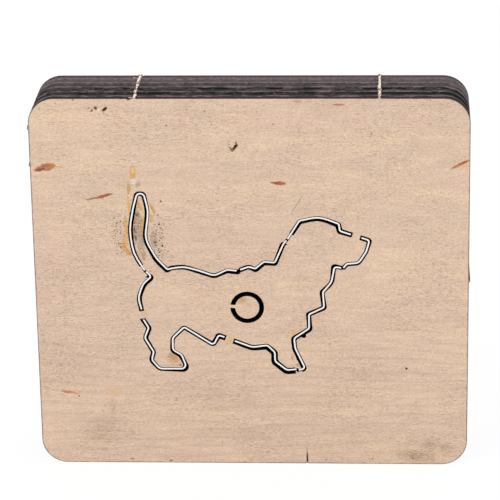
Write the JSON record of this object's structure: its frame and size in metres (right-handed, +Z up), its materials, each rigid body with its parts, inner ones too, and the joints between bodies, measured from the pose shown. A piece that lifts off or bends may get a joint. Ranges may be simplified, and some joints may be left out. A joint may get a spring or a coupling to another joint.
{
  "type": "steel rule die",
  "caption": "Small plywood die board with bent steel cutting rule set in a burnt kerf in the outline of a dog, backed by ejection rubber on its cutting side.",
  "frame": {"origin": "Middle of the bottom edge that the board stands on, at half its thickness.", "axes": "+X along the board to the right as seen from its back, +Y out of the cutting side, +Z up the board."},
  "size_m": [0.1006, 0.025, 0.0903],
  "materials": {
    "plywood": "Sanded birch face veneer, with laser-charred grey-black edges and kerf walls.",
    "rule_steel": "Hardened spring steel strip, bright ground back and bevel, satin sides.",
    "ejection_rubber": "Closed-cell ejection rubber with knife-cut sides, matt."
  },
  "bodies": {
    "root": {"die_board": "plywood", "rule_tail_back": "rule_steel", "rule_saddle_neck": "rule_steel", "rule_head_muzzle": "rule_steel", "rule_chest_foreleg": "rule_steel", "rule_belly_hind": "rule_steel", "pad_hindquarter": "ejection_rubber", "pad_trunk": "ejection_rubber", "pad_head": "ejection_rubber", "pad_tail_side": "ejection_rubber", "pad_rump_side": "ejection_rubber", "pad_back": "ejection_rubber", "pad_crown": "ejection_rubber", "pad_muzzle": "ejection_rubber", "pad_chest": "ejection_rubber", "pad_belly": "ejection_rubber", "pad_feet": "ejection_rubber"}
  },
  "joints": []
}
